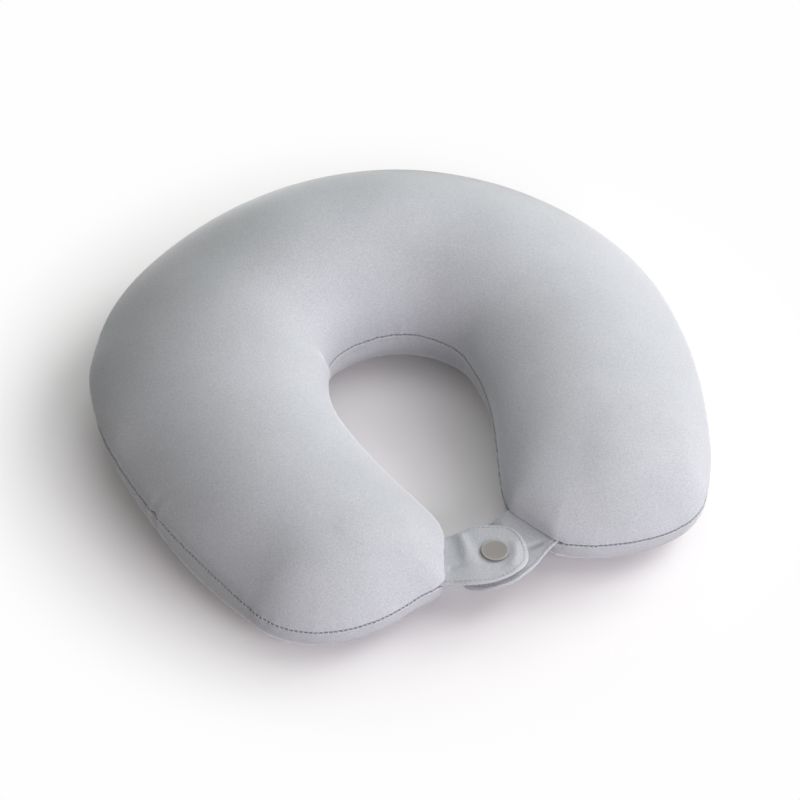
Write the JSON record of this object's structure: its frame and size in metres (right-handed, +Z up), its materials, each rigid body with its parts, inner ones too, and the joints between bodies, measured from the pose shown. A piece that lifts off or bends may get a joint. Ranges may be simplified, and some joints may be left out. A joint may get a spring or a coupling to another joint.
{
  "type": "u shaped neck pillow",
  "caption": "U-shaped travel neck pillow of smooth knit over a bead filling, with a low perimeter seam and overlapping front tabs closed by a press snap.",
  "frame": {"origin": "centre of the outline, on the surface that the pillow lies on", "axes": "+Z up, -Y towards the mouth of the U and its tabs, +X towards the lobe that carries the lower tab"},
  "size_m": [0.2998, 0.2907, 0.081],
  "materials": {
    "knit": "fine matte stretch knit",
    "beads": "loose foam beads",
    "thread": "spun sewing thread",
    "interlining": "non-woven felt",
    "snap": "satin moulded plastic"
  },
  "bodies": {
    "pillow": {"top_panel": "knit", "bottom_panel": "knit", "bead_fill": "beads", "panel_seam_thread": "thread"},
    "left_tab": {"left_tab_upper_ply": "knit", "left_tab_interlining": "interlining", "left_tab_lower_ply": "knit", "left_tab_stitching": "thread", "snap_cap": "snap", "snap_socket": "snap"},
    "right_tab": {"right_tab_upper_ply": "knit", "right_tab_interlining": "interlining", "right_tab_lower_ply": "knit", "right_tab_stitching": "thread", "snap_stud": "snap", "snap_back_cap": "snap"}
  },
  "joints": [
    {"name": "left_tab_fold", "type": "hinge", "parent": "pillow", "child": "left_tab", "pos_m": [-0.02196, -0.11674, 0.0227], "axis": [-0.4067, -0.9135, 0], "range_deg": [0, 90]},
    {"name": "right_tab_fold", "type": "hinge", "parent": "pillow", "child": "right_tab", "pos_m": [0.02196, -0.11674, 0.0213], "axis": [-0.4067, 0.9135, 0], "range_deg": [-25, 0], "stiffness_Nm_per_rad": 0.002, "springref_deg": 2.86}
  ]
}
